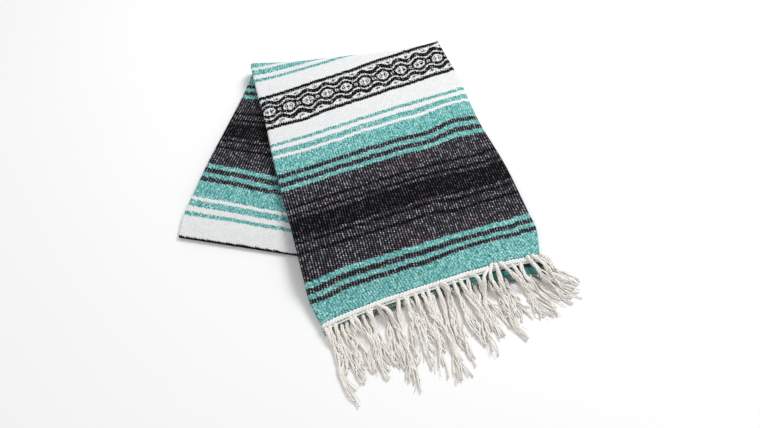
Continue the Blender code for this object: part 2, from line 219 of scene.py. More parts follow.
# Woven cloth. Its patterns are worked out in millimetres across the strip and along it from the
# middle of a diamond band
TEAL, CHAR, BLACK, WHITE = (1, 0, 0), (0, 1, 0), (0, 0, 1), (0, 0, 0)
Stripe = namedtuple("Stripe", "start yarn")
STRIPES = [
    Stripe(0, WHITE), Stripe(31.6, BLACK), Stripe(38.4, WHITE), Stripe(76.3, TEAL), Stripe(82.3, WHITE),
    Stripe(91.8, TEAL), Stripe(101.8, WHITE), Stripe(107, TEAL), Stripe(133.7, CHAR), Stripe(141, TEAL),
    Stripe(147.8, CHAR), Stripe(156, TEAL), Stripe(163.8, CHAR), Stripe(194.5, BLACK), Stripe(199.5, CHAR),
    Stripe(209, BLACK), Stripe(213.5, CHAR), Stripe(218, BLACK),
]
RIB = 4.05                # from one rib of the weave to the next
PICK = 2.6                # from one weft to the next

# The diamond band's chart, of cells with a width, a height and a middle of their own
BAND_HALF = 31.6
DIAMOND_HALF_PITCH = 16.7
FIRST_DIAMOND = 11.3
CELL_ACROSS, CELL_ACROSS_MIDDLE = 1.35, 0.68
CELL_ALONG, CELL_ALONG_MIDDLE = 1.1, 0.55
RING_WIDE, RING_HIGH, RING_ROUND = 10.2, 8.6, 1.7
EDGE_LINE = 30.4

# Black marks in a diamond's white ring, between two places sideways and two away from its middle
Mark = namedtuple("Mark", "side_from side_to away_from away_to")
MARKS = [Mark(1.3, 4.4, -1, 1.8), Mark(5.0, 6.6, -1, 0.8), Mark(2.2, 4.2, 3.0, 4.4)]


def inside(value, low, high):
    """1 where a value lies between two others."""
    return (value > low) * (value < high)


def diamonds(shade, across, along):
    """1 where the diamond band is black, 0 where it is white."""
    cell_across = (across / CELL_ACROSS).math("FLOOR") * CELL_ACROSS + CELL_ACROSS_MIDDLE
    cell_along = (along / CELL_ALONG).math("FLOOR") * CELL_ALONG + CELL_ALONG_MIDDLE
    sideways = (cell_across - FIRST_DIAMOND).math("PINGPONG", DIAMOND_HALF_PITCH)
    away = cell_along.math("ABSOLUTE")
    zigzag = 0.5 - (sideways * (math.pi / DIAMOND_HALF_PITCH)).math("COSINE") * 0.5

    # A white ring round a diamond's middle with a thin black line in it, and a stem up the middle
    ring = (sideways / RING_WIDE).math("POWER", RING_ROUND) + (away / RING_HIGH).math("POWER", RING_ROUND)
    ring_line = inside(ring, 0.42, 0.56) * (sideways > 2.2)
    stem = (sideways < 1.1) * (away < 7)
    white_ring = (ring < 1.0).math("MAXIMUM", stem) * (1 - ring_line)

    # The two black zigzags, the small white box that links two diamonds and the lozenge beyond it
    link_out = (DIAMOND_HALF_PITCH - sideways) / 2.9
    link = link_out.math("MAXIMUM", away / 2.4)
    first_black = (away < (15.9 - zigzag * 8.0)) * (1 - inside(link, 0.5, 1.0))
    outer_black = inside(away, 18.5 - zigzag * 7.8, 27.8 - zigzag * 8.4)
    lozenge_out = (sideways - DIAMOND_HALF_PITCH) / 4.6
    lozenge_far = ((away - 24.8) / 3.0).math("ABSOLUTE")
    lozenge = (lozenge_out.math("ABSOLUTE") + lozenge_far) < 1.0
    lozenge = lozenge * ((away - 25.6).math("ABSOLUTE") > 0.6)

    figure = first_black.math("MAXIMUM", outer_black).math("MAXIMUM", lozenge)
    figure = figure.math("MAXIMUM", away > EDGE_LINE) * (1 - white_ring)
    for mark in MARKS:
        spot = inside(sideways, mark.side_from, mark.side_to) * inside(away, mark.away_from, mark.away_to)
        figure = figure.math("MAXIMUM", spot)
    stray = shade.chance(shade.point(cell_across, cell_along, 6.0))
    return (figure.math("MAXIMUM", stray > 0.91)) * (1 - (stray < 0.025))


def striped(shade, along):
    """1 in the teal, charcoal and black stripes, as three numbers."""
    repeat = along.math("PINGPONG", HALF_REPEAT)
    stops = [(stripe.start / HALF_REPEAT, stripe.yarn) for stripe in STRIPES]
    yarn = shade.ramp(repeat / HALF_REPEAT, stops, "CONSTANT")
    kinds = shade.node("ShaderNodeSeparateColor", {}, yarn)
    return [Num(shade, kinds.outputs[index]) for index in range(3)]


def woven_cloth():
    """The cloth that shows. The last number of a point keeps one chance apart from the others."""
    shade = Shade("woven cloth", roughness=0.92)
    across, along = (place * IN_MM for place in shade.places())
    slow = shade.clouds(shade.point(across, along * 0.5), 0.022, 1.0) - 0.5
    wander = (shade.clouds(shade.point(across * 0.4, along), 0.03, 1.0) - 0.5) * 0.9
    ribs = across / RIB + wander
    column = ribs.math("FLOOR")
    odd = column.math("MODULO", 2.0).math("ABSOLUTE")
    pick_place = along / PICK + odd * 0.5

    # Stripes and diamonds, with edges that step from rib to rib
    place = along + slow * 3.4
    tooth = ribs.math("FRACT") - 0.5
    ragged = place + tooth * 2.0 + (shade.chance(shade.point(column, 3.0)) - 0.5) * 1.8
    teal, charcoal, black = striped(shade, ragged)
    teal = teal.math("MAXIMUM", along < (HEM_BORDER - BAND_FROM_HEM))
    in_band = place.math("ABSOLUTE") < BAND_HALF
    swing = shade.chance(shade.point(column, (along / PICK).math("FLOOR"), 2.0)) - 0.5
    swung = place + tooth * 1.5 + swing * 1.4
    black = black.math("MAXIMUM", diamonds(shade, across, swung) * in_band)
    white = 1 - (teal + charcoal + black).math("MINIMUM", 1.0)

    # Flecks: each stitch has a tone of its own. The crown of a rib and of a stitch gets a light tone, partly
    # pale fibre and partly painted highlight
    pick = pick_place.math("FLOOR")
    stitch = shade.chance(shade.point(column, pick, 1.0))
    speck = shade.chance(shade.point((across / 1.5).math("FLOOR"), (along / 1.2).math("FLOOR"), 4.0))
    hue = shade.chance(shade.point(pick, column, 7.0))
    fibre = shade.clouds(shade.point(across, along), 0.9, 3.0)
    fleck = stitch * 0.3 + speck * 0.45 + (fibre - 0.5) * 1.1 + 0.13
    tuft = shade.point((across / 2.0).math("FLOOR"), (along / 2.1 + odd * 0.5).math("FLOOR"), 9.0)
    heather = shade.chance(tuft) * 0.5 + speck * 0.44 + (fibre - 0.5) * 1.0
    ridge = (ribs * math.pi).math("SINE").math("ABSOLUTE")
    dash = (pick_place * math.pi).math("SINE").math("ABSOLUTE")
    crown_highlight = ridge.math("POWER", 6.0)
    pale = crown_highlight * (dash * dash * (stitch.math("POWER", 3.0) * 0.9 + 0.12) + 0.015)

    teal_colour = shade.ramp(heather, [
        (0.0, srgb(22, 88, 92)), (0.24, srgb(72, 150, 150)), (0.5, srgb(118, 196, 190)),
        (0.74, srgb(164, 222, 217)), (0.95, srgb(240, 252, 250)),
    ])
    teal_colour = shade.mix((hue > 0.78) * 0.3, teal_colour, opaque(112, 162, 184))
    char_colour = shade.ramp(fleck, [
        (0.0, srgb(6, 5, 8)), (0.4, srgb(17, 15, 21)), (0.7, srgb(37, 34, 42)), (1.0, srgb(98, 93, 103)),
    ])
    patches = shade.clouds(shade.point(across, along * 2.2, 5.0), 0.016, 1.0) > 0.61
    char_colour = shade.mix((hue > 0.6) * patches * 0.5, char_colour, opaque(66, 32, 38))
    # Painted highlight, with pale fibre, on the rib crowns of the charcoal and, fainter, of the black
    char_colour = shade.mix(pale, char_colour, opaque(238, 236, 242))
    black_colour = shade.ramp(fleck, [(0.0, srgb(3, 3, 5)), (0.7, srgb(9, 9, 11)), (1.0, srgb(34, 33, 40))])
    black_colour = shade.mix(pale * 0.34, black_colour, opaque(206, 206, 214))
    white_colour = shade.ramp(fleck, [
        (0.0, srgb(198, 200, 201)), (0.3, srgb(221, 222, 223)), (0.8, srgb(233, 234, 234)),
    ])
    colour = shade.mix(teal, white_colour, teal_colour)
    colour = shade.mix(charcoal, colour, char_colour)
    colour = shade.mix(black, colour, black_colour)
    # Painted shade: the colour darkens in the grooves between ribs, except on white cloth
    groove_shade = 1 - (1 - ridge.math("POWER", 0.6)) * (1 - white) * 0.4
    shaded = shade.node("ShaderNodeVectorMath", {"operation": "SCALE"}, colour, Scale=groove_shade).outputs[0]
    shade.feed("Base Color", shaded)
    shade.feed("Roughness", 0.86 + fibre * 0.12)
    relief = ridge * 0.7 + ridge * dash * 0.5 + fibre * 0.35
    shade.bump(relief * (1 - white * 0.65), 0.75, 0.9 * MM)
    return shade.material


def hidden_cloth():
    """The layers inside the fold, which show as edges of teal, charcoal and cream cloth. Their teal is darker
    than that of the cloth that shows: painted shade.
    """
    shade = Shade("folded edges", roughness=0.93)
    across, along = (place * IN_MM for place in shade.places())
    wobble = (shade.clouds(shade.point(across * 2, along), 0.03, 2.0) - 0.5) * 9
    teal, charcoal, black = striped(shade, along + wobble)
    grain = shade.clouds(shade.point(across, along), 1.0, 3.0)
    white_colour = shade.ramp(grain, [(0.3, srgb(200, 196, 190)), (0.7, srgb(236, 232, 228))])
    # Painted shade: this teal is darker than the teal of the cloth that shows
    teal_colour = shade.ramp(grain, [(0.3, srgb(36, 98, 96)), (0.7, srgb(92, 164, 158))])
    char_colour = shade.ramp(grain, [(0.3, srgb(26, 22, 26)), (0.7, srgb(84, 74, 80))])
    colour = shade.mix(teal, white_colour, teal_colour)
    colour = shade.mix(charcoal, colour, char_colour)
    colour = shade.mix(black, colour, opaque(18, 16, 20))
    shade.feed("Base Color", colour)
    picks = (along * (math.pi / PICK)).math("SINE").math("ABSOLUTE")
    shade.bump(picks * 0.6 + grain * 0.6, 0.6, 0.8 * MM)
    return shade.material


def spun_yarn(name, dark, light, bright):
    """Loose cotton yarn: slanted ply lines, with painted shade in the grooves between plies, and fibre
    specks.
    """
    shade = Shade(name, roughness=0.95)
    round_it, along = shade.places()
    along = along * IN_MM
    ply = ((along / 3.2 + round_it * 2) * math.pi).math("SINE").math("ABSOLUTE")
    grain = shade.clouds(shade.point(round_it * 3, along), 0.9, 3.0)
    # The tone falls to the dark colour in the grooves between plies, as painted shade, and where the fibre is
    # darker
    tone = ply * 0.45 + grain * 0.75
    shade.feed("Base Color", shade.ramp(tone, [(0.22, dark), (0.52, light), (0.95, bright)]))
    shade.bump(ply + grain * 0.5, 0.7, 0.5 * MM)
    return shade.material


def pale_floor():
    shade = Shade("pale floor", roughness=0.6)
    grain = shade.clouds(shade.node("ShaderNodeTexCoord", {}).outputs["Object"], 3.0, 2.0)
    shade.feed("Base Color", shade.ramp(grain, [(0.0, (0.93, 0.93, 0.93)), (1.0, (0.95, 0.95, 0.95))]))
    return shade.material


# Places on the folded strip
def between(rows, place):
    """Smooth in-between of a table's rows at a row position such as 2.5."""
    last = len(rows) - 1
    start = min(int(place), last - 1)
    share = place - start
    values = []
    rows_used = rows[max(start - 1, 0)], rows[start], rows[start + 1], rows[min(start + 2, last)]
    for p0, p1, p2, p3 in zip(*rows_used):
        slope1 = (p2 - p0) / 2 if start > 0 else p2 - p1
        slope2 = (p3 - p1) / 2 if start + 2 <= last else p2 - p1
        cubic = 2 * p1 - 2 * p2 + slope1 + slope2
        square = -3 * p1 + 3 * p2 - 2 * slope1 - slope2
        values.append(((cubic * share + square) * share + slope1) * share + p1)
    return type(rows[0])(*values)


def plan(section, across):
    """Place on the surface at a share of a section, from its left end to its right end."""
    left = Vector((section.left_x, section.left_y)) * MM
    right = Vector((section.right_x, section.right_y)) * MM
    along = (right - left).normalized()
    forward = Vector((-along.y, along.x))
    belly = 1 - abs(2 * across - 1) ** 3
    return left.lerp(right, across) + forward * (section.bow * MM * belly) - FOOTPRINT_MIDDLE


def axes(section):
    """Unit steps to the right along a section, and from it towards the top fold."""
    right = (plan(section, 1) - plan(section, 0)).normalized()
    return right, Vector((-right.y, right.x))


def width(section):
    return math.hypot(section.right_x - section.left_x, section.right_y - section.left_y) * MM


def along_at(section, across):
    """Distance along the cloth at a share of a section, in millimetres."""
    return section.left_along + (section.right_along - section.left_along) * across


def ease(share):
    share = min(max(share, 0.0), 1.0)
    return share * share * (3 - 2 * share)


def left_of(point, first, second):
    """How far a point lies to the left of a line, negative to its right."""
    along = (second - first).normalized()
    return (point - first).dot(Vector((-along.y, along.x)))


TOP_RIGHT = plan(LOWER[0], 1)
END_RIGHT = plan(LOWER[-1], 1)
END_LEFT = plan(LOWER[-1], 0)
HEM_LEFT = plan(UPPER[0], 0)
HEM_RIGHT = plan(UPPER[0], 1)


def bed(point):
    """Height of the slit between the passes: down to the surface beside the lower pass and at the hem."""
    beside = max(-left_of(point, END_RIGHT, TOP_RIGHT) - LEVEL, 0)
    before = max(-left_of(point, END_LEFT, END_RIGHT) - LEVEL, 0)
    drop = ease(math.hypot(beside, before) / SLOPE)
    behind = left_of(point, HEM_LEFT, HEM_RIGHT) - UPPER[0].bow * MM
    return (PASS + SLIT) * (1 - drop) * ease(behind / HEM_RISE) - SLIT


def on_upper(section, across, height):
    point = plan(section, across)
    return Vector((point.x, point.y, bed(point) + height))


def on_lower(section, across, height):
    point = plan(section, across)
    return Vector((point.x, point.y, section.thick * MM - height))


def in_turn(section, across, height, angle):
    """Round the top fold, where the strip turns over itself."""
    forward = axes(section)[1]
    point = plan(section, across) + forward * (height * math.cos(angle))
    return Vector((point.x, point.y, PASS + height * math.sin(angle)))


def on_end(section, across, height, angle):
    """Round the end fold of the lower pass."""
    forward = axes(section)[1]
    middle = section.thick * MM / 2
    arm = middle - height
    point = plan(section, across) - forward * (arm * math.cos(angle))
    return Vector((point.x, point.y, middle + arm * math.sin(angle)))


def shown(across):
    """How far the lower hem stands out past the upper one at a share of the hem."""
    return SHOWN_LEFT + (SHOWN_RIGHT - SHOWN_LEFT) * across ** 2


def past_hem(across, distance, height, aside=0.0):
    right, forward = axes(UPPER[0])
    point = plan(UPPER[0], across) - forward * distance + right * aside
    return Vector((point.x, point.y, height))


# Creases: a trough (negative) or ridge between two places on a stretch, in millimetres
# across and along, with its half width and depth
Crease = namedtuple("Crease", "across along to_across to_along half deep")
UPPER_CREASES = [
    Crease(60, 10, 120, 95, 16, -1.4),
    Crease(150, 20, 170, 90, 22, 1.2),
    Crease(230, 8, 262, 70, 15, -1.5),
    Crease(285, 40, 300, 150, 18, 1.0),
    Crease(40, 130, 60, 260, 20, -0.9),
    Crease(110, 150, 150, 300, 26, 1.0),
    Crease(215, 120, 235, 230, 19, -1.0),
    Crease(30, 300, 80, 420, 17, 0.9),
    Crease(180, 320, 300, 372, 20, -0.8),
    Crease(90, 440, 210, 470, 18, 0.8),
    Crease(120, 512, 260, 522, 12, -0.8),
]
LOWER_CREASES = [
    Crease(20, 120, 130, 105, 18, -1.1),
    Crease(60, 60, 190, 74, 15, 0.9),
    Crease(15, 210, 90, 228, 20, 1.0),
    Crease(30, 300, 100, 280, 22, -0.9),
    Crease(170, 20, 280, 40, 14, -0.7),
]
CREASE_END = 0.15         # a crease fades out over this share of its length past each end

# Where the beater drew the picks out of line: the stripes move this far towards the top fold
Drift = namedtuple("Drift", "across along half_across half_along shift")
UPPER_DRIFTS = [
    Drift(240, 208, 34, 48, -4.5),
    Drift(316, 216, 26, 40, 5),
    Drift(150, 30, 60, 30, -2.6),
    Drift(246, 44, 32, 36, 4.6),
    Drift(14, 52, 34, 26, -4.4),
    Drift(8, 272, 36, 34, 3.6),
    Drift(312, 284, 44, 16, -3.6),
    Drift(62, 326, 34, 20, -4.6),
    Drift(10, 398, 90, 34, -6),
    Drift(245, 408, 66, 26, 7),
    Drift(25, 446, 150, 30, -7),
]


def drifted(drifts, across, along):
    """Place along the pattern, in metres, at a place on a stretch in millimetres."""
    for drift in drifts:
        off_across = (across - drift.across) / drift.half_across
        off_along = (along - drift.along) / drift.half_along
        along -= drift.shift * math.exp(-(off_across ** 2 + off_along ** 2))
    return along * MM


def creased(creases, across, along):
    """Height that the creases add at a place on a stretch, in metres."""
    here = Vector((across, along))
    reach = 1 + CREASE_END
    height = 0.0
    for crease in creases:
        first = Vector((crease.across, crease.along))
        run = Vector((crease.to_across, crease.to_along)) - first
        share = min(max((here - first).dot(run) / run.length_squared, -CREASE_END), reach)
        away = (here - first - run * share).length / crease.half
        fade = ease(reach - abs(2 * share - 1) / reach)
        height += crease.deep * math.exp(-away * away) * fade
    height += noise.noise(Vector((across * 0.016, along * 0.016, 3.3))) * 0.9
    height += noise.noise(Vector((across * 0.05, along * 0.05, 8.1))) * 0.3
    return height * MM


# Meshes from rows of points that carry a place on the cloth
def grid_faces(rows, count, closed, base=0):
    """Faces of a grid of points, a row after another, whose first point has the number base."""
    faces = []
    for row in range(rows - 1):
        here = base + row * count
        for cell in range(count if closed else count - 1):
            after = (cell + 1) % count
            faces.append((here + cell, here + after, here + count + after, here + count + cell))
    return faces


def add_mesh(name, points, faces, places, material):
    mesh = bpy.data.meshes.new(name)
    mesh.from_pydata(points, [], faces)
    layer = mesh.uv_layers.new(name="cloth")
    for loop in mesh.loops:
        layer.data[loop.index].uv = places[loop.vertex_index]
    mesh.materials.append(material)
    mesh.shade_smooth()
    mesh.update()
    piece = bpy.data.objects.new(name, mesh)
    bpy.context.scene.collection.objects.link(piece)
    return piece


def sheet_mesh(name, rows, material, closed=False):
    """Rows of (point, across, along) in metres become one grid."""
    points = [cell[0] for row in rows for cell in row]
    places = [(cell[1], cell[2]) for row in rows for cell in row]
    return add_mesh(name, points, grid_faces(len(rows), len(rows[0]), closed), places, material)


def thicken(piece, thickness, offset):
    shell = piece.modifiers.new("cloth thickness", "SOLIDIFY")
    shell.thickness = thickness
    shell.offset = offset


def arc(centre_x, centre_height, radius, first, last, side):
    """Points round a side fold, from one angle to another."""
    points = []
    for step in range(FOLD_STEPS + 1):
        turn = math.radians(first + (last - first) * step / FOLD_STEPS)
        points.append((centre_x + side * radius * math.cos(turn), centre_height + radius * math.sin(turn)))
    return points


def run_of(outline):
    """Distance along an outline at each of its points."""
    runs = [0.0]
    for first, second in zip(outline[:-1], outline[1:]):
        runs.append(runs[-1] + math.hypot(second[0] - first[0], second[1] - first[1]))
    return runs


# The two stretches of cloth that show
ON_FOLD = 0.1 * MM        # a point further than this from the face lies on a side fold
CREASE_MARGIN = 14 * MM   # the creases fade out over this width at a side fold
CREASE_TUCK = 18 * MM     # and over this width at the tucked edge
HEM_FADE = 6              # and over this many rows behind the hem
TOP_FADE = 12             # and over this many rows of the lower stretch at the top fold
TURN_CREASE = 0.6         # share of a crease's depth that is left in the turn of the top fold
LOWER_CREASE = 0.7        # and on the lower pass
LOWER_SHELL = 1.2 * MM


def upper_outline(wide, thick):
    """Across the strip over its outer layer: (distance from the left edge, height)."""
    radius = thick / 4
    middle = thick * 3 / 4
    left = arc(radius, middle, radius, -70, 90, -1)
    right = arc(wide - radius, middle, radius, -70, 90, 1)
    face = [(radius + (wide - 2 * radius) * cell / UPPER_CELLS, thick) for cell in range(1, UPPER_CELLS)]
    return left + face + right[::-1]


def lower_outline(thick, cut):
    """Across the lower pass from its side fold to the tucked edge, heights measured down from its face."""
    radius = (thick / 2 - SLIT) / 2
    centre = (thick / 2 + SLIT) / 2
    fold = arc(radius, centre, radius, 70, -90, -1)
    return fold + [(radius + (cut - radius) * cell / LOWER_CELLS, SLIT) for cell in range(1, LOWER_CELLS + 1)]


def upper_cloth(material):
    rows = []
    steps = (len(UPPER) - 1) * SHEET_ROWS
    for step in range(steps + TOP_TURN_ROWS + 1):
        section = between(UPPER, min(step / SHEET_ROWS, len(UPPER) - 1))
        wide = width(section)
        thick = section.thick * MM
        outline = upper_outline(wide, thick)
        runs = run_of(outline)
        start = runs[FOLD_STEPS] - outline[FOLD_STEPS][0]
        angle = math.pi / 2 - math.pi * max(step - steps, 0) / TOP_TURN_ROWS
        turned = math.pi / 2 - angle
        row = []
        for (x, height), run in zip(outline, runs):
            across = x / wide
            along = along_at(section, across) * MM + turned * PASS
            lift = creased(UPPER_CREASES, (run - start) * IN_MM, along * IN_MM)
            edge = ease(min(x, wide - x) / CREASE_MARGIN) * ease(step / HEM_FADE)
            if height < thick - ON_FOLD:
                edge = 0
            if step <= steps:
                point = on_upper(section, across, height + lift * edge)
            else:
                point = in_turn(section, across, height + lift * edge * TURN_CREASE, angle)
                point.z = max(point.z, 0)
            pattern = drifted(UPPER_DRIFTS, (run - start) * IN_MM, along * IN_MM)
            row.append((point, run - start, pattern - BAND_FROM_HEM * MM))
        rows.append(row)
    piece = sheet_mesh("upper_cloth", rows, material)
    thicken(piece, CLOTH, -1)
    return piece


def beside_upper(point):
    """Distance from the left edge of the upper pass, negative inside it."""
    edge = [plan(section, 0) for section in UPPER]
    best = None
    for first, second in zip(edge[:-1], edge[1:]):
        along = second - first
        share = min(max((point - first).dot(along) / along.length_squared, 0), 1)
        offset = point - first.lerp(second, share)
        if best is None or offset.length < abs(best):
            best = math.copysign(offset.length, along.x * offset.y - along.y * offset.x)
    return best


def tuck_line(section):
    """Distance from the left end of a section to the tucked edge of the lower stretch."""
    wide = width(section)
    steps = 100
    cut = wide / 2
    for step in range(steps):
        if beside_upper(plan(section, step / steps)) < -TUCK:
            cut = step / steps * wide
            break
    return min(max(cut, TUCK), wide - TUCK)


def lower_cloth(material):
    rows = []
    steps = (len(LOWER) - 1) * SHEET_ROWS
    for step in range(1, steps + END_TURN_ROWS + 1):
        section = between(LOWER, min(step / SHEET_ROWS, len(LOWER) - 1))
        wide = width(section)
        thick = section.thick * MM
        cut = tuck_line(section)
        outline = lower_outline(thick, cut)
        runs = run_of(outline)
        start = runs[FOLD_STEPS] - outline[FOLD_STEPS][0]
        angle = math.pi / 2 - math.pi * max(step - steps, 0) / END_TURN_ROWS
        turned = math.pi / 2 - angle
        row = []
        for (x, height), run in zip(outline, runs):
            across = x / wide
            along = along_at(section, across) * MM - turned * thick / 2
            lift = max(creased(LOWER_CREASES, x * IN_MM, along * IN_MM), -CLOTH / 4)
            edge = ease(x / CREASE_MARGIN) * ease((cut - x) / CREASE_TUCK)
            edge *= ease(min(step, steps) / TOP_FADE)
            if height > SLIT + ON_FOLD:
                edge = 0
            if step <= steps:
                point = on_lower(section, across, height - lift * edge * LOWER_CREASE)
            else:
                point = on_end(section, across, height, angle)
            row.append((point, run - start, along))
        rows.append(row)
    piece = sheet_mesh("lower_cloth", rows, material)
    thicken(piece, LOWER_SHELL, 1)
    return piece


# The layers of both passes under the cloth that shows, with their folds at the sides
UNDER_COVER = 1.8 * MM    # from the face of a stretch down to the layers that it covers
COVERED_INSET = CLOTH + 0.2 * MM
BARE_INSET = 0.6 * MM
UNDER_INSET = 1.5 * MM
INNER_INSET = 0.9 * MM
LOBES = 2                 # side folds in each half of a pass
LOBE_ANGLES = (-80, -45, 0, 45, 80)
TURN_PATTERN = 5          # mm along the pattern from one row of the top fold to the next

# Rows of the front at the hem: how far each stands out in millimetres, whether it follows the lower
# hem, its share of the height above and below the middle, and its place on the pattern
Front = namedtuple("Front", "out follow above below pattern")
FRONTS = [
    Front(0.6, True, 0, 0.5, 120), Front(0, True, 0, 0.95, 120), Front(-2, True, 0, 1, 125),
    Front(0.8, False, 0.05, 1, 150), Front(0.4, False, 0.8, 1, 152),
]


def lobes(wide, low, high, inset, side):
    """Side folds of a half pass: one lobe above another, from low to high."""
    points = []
    each = (high - low) / LOBES
    for number in range(LOBES):
        middle = low + each * (number + 0.5)
        radius = each / 2
        centre = inset + radius
        if side > 0:
            centre = wide - centre
        for angle in LOBE_ANGLES:
            turn = math.radians(angle)
            x = centre + side * radius * math.cos(turn)
            points.append((x, middle + radius * math.sin(turn)))
    return points


def layers_outline(wide, thick, cover, under):
    """Ring round a pass, heights measured out of the slit."""
    top = thick - (UNDER_COVER if cover else 0)
    low = SLIT + (UNDER_COVER if under else 0)
    middle = thick / 2
    high_inset = COVERED_INSET if cover else BARE_INSET
    low_inset = UNDER_INSET if under else INNER_INSET
    left = lobes(wide, low, middle, low_inset, -1) + lobes(wide, middle, top, high_inset, -1)
    right = lobes(wide, low, middle, INNER_INSET, 1) + lobes(wide, middle, top, high_inset, 1)
    above = [(wide * cell / INNER_CELLS, top) for cell in range(1, INNER_CELLS)]
    below = [(wide * cell / INNER_CELLS, low) for cell in range(INNER_CELLS - 1, 0, -1)]
    return left + above + right[::-1] + below


def front_row(front):
    wide = width(UPPER[0])
    thick = UPPER[0].thick * MM
    row = []
    for x, height in layers_outline(wide, thick, True, False):
        out = front.out * MM + (shown(x / wide) if front.follow else 0)
        over = max(height - thick / 2, 0) * front.above
        point = past_hem(x / wide, out, (min(height, thick / 2) - SLIT) * front.below + over)
        row.append((point, x + height, front.pattern * MM))
    return row


def layers_row(section, spot, cover, under, start):
    wide = width(section)
    row = []
    for x, height in layers_outline(wide, section.thick * MM, cover, under):
        across = x / wide
        row.append((spot(section, across, height), x + height, (along_at(section, across) + start) * MM))
    return row


def layers(material):
    rows = [front_row(front) for front in FRONTS]
    for step in range((len(UPPER) - 1) * INNER_ROWS + 1):
        section = between(UPPER, step / INNER_ROWS)
        rows.append(layers_row(section, on_upper, True, False, -BAND_FROM_HEM))
    for step in range(1, INNER_TURN_ROWS + 1):
        spot = partial(in_turn, angle=math.pi / 2 - math.pi * step / INNER_TURN_ROWS)
        rows.append(layers_row(UPPER[-1], spot, True, False, -BAND_FROM_HEM + step * TURN_PATTERN))
    for step in range(1, (len(LOWER) - 1) * INNER_ROWS):
        rows.append(layers_row(between(LOWER, step / INNER_ROWS), on_lower, False, True, 0))
    return sheet_mesh("inner_layers", rows, material, closed=True)


# Tubes that follow a route
def tube_rows(points, radii, sides):
    """Cells of a tube, a row for each point of its route."""
    rows = []
    run = 0.0
    side = None
    for index, point in enumerate(points):
        ahead = points[min(index + 1, len(points) - 1)] - points[max(index - 1, 0)]
        ahead.normalize()
        if side is None:
            side = ahead.cross(Vector((0, 0, 1)))
        side = (side - ahead * side.dot(ahead)).normalized()
        up = ahead.cross(side)
        if index:
            run += (point - points[index - 1]).length
        row = []
        for number in range(sides):
            angle = math.tau * number / sides
            offset = side * math.cos(angle) + up * math.sin(angle)
            row.append((point + offset * radii[index], number / sides, run))
        rows.append(row)
    return rows


class Bundle:
    """Many tubes in one mesh."""

    def __init__(self):
        self.points = []
        self.places = []
        self.faces = []

    def add(self, rows):
        base = len(self.points)
        count = len(rows[0])
        for row in rows:
            for point, across, along in row:
                self.points.append(point)
                self.places.append((across, along))
        self.faces += grid_faces(len(rows), count, True, base)
        last = base + (len(rows) - 1) * count
        self.faces.append(tuple(range(base, base + count))[::-1])
        self.faces.append(tuple(range(last, last + count)))

    def piece(self, name, material):
        return add_mesh(name, self.points, self.faces, self.places, material)


# The twined edge at a hem. Its strands in millimetres: how far the middle of a strand stands out
# and up, its radius, how far it swings out and up, its turns along the hem and where it starts
HEM_WIDE = 6.4 * MM
HEM_THICK = 3.4 * MM
HEM_SINK = 0.2 * MM
HEM_STATIONS = 300
HEM_FROM, HEM_SHARE = 0.004, 0.992
ROPE_SIDES = 7
Strand = namedtuple("Strand", "out rise radius swing_out swing_up turns start")
ROPE = [
    Strand(3.8, 0.1, 2.05, 2.2, 0.9, 33, 0),
    Strand(3.8, 0.1, 2.05, 2.2, 0.9, 33, 0.5),
    Strand(8.8, -1.4, 0.9, 0.7, 0.5, 50, 0.2),
    Strand(8.8, -1.4, 0.9, 0.7, 0.5, 50, 0.7),
]


def hem_rope(name, lower, material):
    """The twined edge: two thick strands round each other, and a finer pair in front of them."""
    thick = UPPER[0].thick * MM
    top = thick / 2 if lower else thick
    centre = top - HEM_SINK - HEM_THICK / 2
    bundle = Bundle()
    for strand in ROPE:
        points = []
        radii = []
        for step in range(HEM_STATIONS + 1):
            across = HEM_FROM + HEM_SHARE * step / HEM_STATIONS
            distance = strand.out * MM + (shown(across) if lower else 0)
            turn = math.tau * (strand.turns * across + strand.start)
            wobble = noise.noise(Vector((across * 9, 2.0 + lower, strand.out))) * 1.1 * MM
            out = math.cos(turn) * strand.swing_out * MM + wobble
            rise = (math.sin(turn) * strand.swing_up + strand.rise) * MM
            points.append(past_hem(across, distance + out, centre + rise))
            swell = 1 + 0.15 * noise.noise(Vector((across * 40, strand.start, 7)))
            radii.append(strand.radius * MM * swell)
        bundle.add(tube_rows(points, radii, ROPE_SIDES))
    return bundle.piece(name, material)


# Tassels of the fringe: share of the hem at the root and at the tip, reach past the
# hem, how far the middle bows to the right and how far aside a looped root starts, in millimetres.
# The last is 1 where the root comes over the twined edge
Tassel = namedtuple("Tassel", "root tip reach bow hook over", defaults=(0, 0))
UPPER_TASSELS = [
    Tassel(0.010, 0.050, 124, -3), Tassel(0.034, 0.036, 84, 4), Tassel(0.058, 0.096, 100, -5),
    Tassel(0.122, 0.112, 96, -3), Tassel(0.142, 0.172, 82, 5), Tassel(0.196, 0.180, 108, 4),
    Tassel(0.214, 0.232, 96, -4), Tassel(0.242, 0.264, 104, 5), Tassel(0.285, 0.272, 138, 8, -14),
    Tassel(0.345, 0.300, 138, -5), Tassel(0.366, 0.330, 104, 4), Tassel(0.388, 0.440, 96, -6),
    Tassel(0.418, 0.412, 134, 5), Tassel(0.446, 0.500, 90, -7), Tassel(0.478, 0.455, 148, 4),
    Tassel(0.516, 0.500, 144, -3), Tassel(0.534, 0.540, 130, 5), Tassel(0.566, 0.522, 104, -3, -10),
    Tassel(0.592, 0.612, 112, -5), Tassel(0.622, 0.628, 128, 6), Tassel(0.664, 0.690, 108, -6),
    Tassel(0.690, 0.668, 92, 5, -10), Tassel(0.724, 0.702, 104, -8, 12), Tassel(0.776, 0.792, 92, -9, 0, 1),
    Tassel(0.792, 0.784, 122, -7, 0, 1), Tassel(0.814, 0.884, 98, 8, 0, 1), Tassel(0.862, 0.930, 100, -5),
    Tassel(0.905, 0.962, 108, -6), Tassel(0.938, 1.040, 88, -6, 0, 1), Tassel(0.960, 1.085, 84, -7, 0, 1),
    Tassel(0.984, 1.105, 60, -4), Tassel(0.998, 1.022, 30, 3, 0, 1),
]
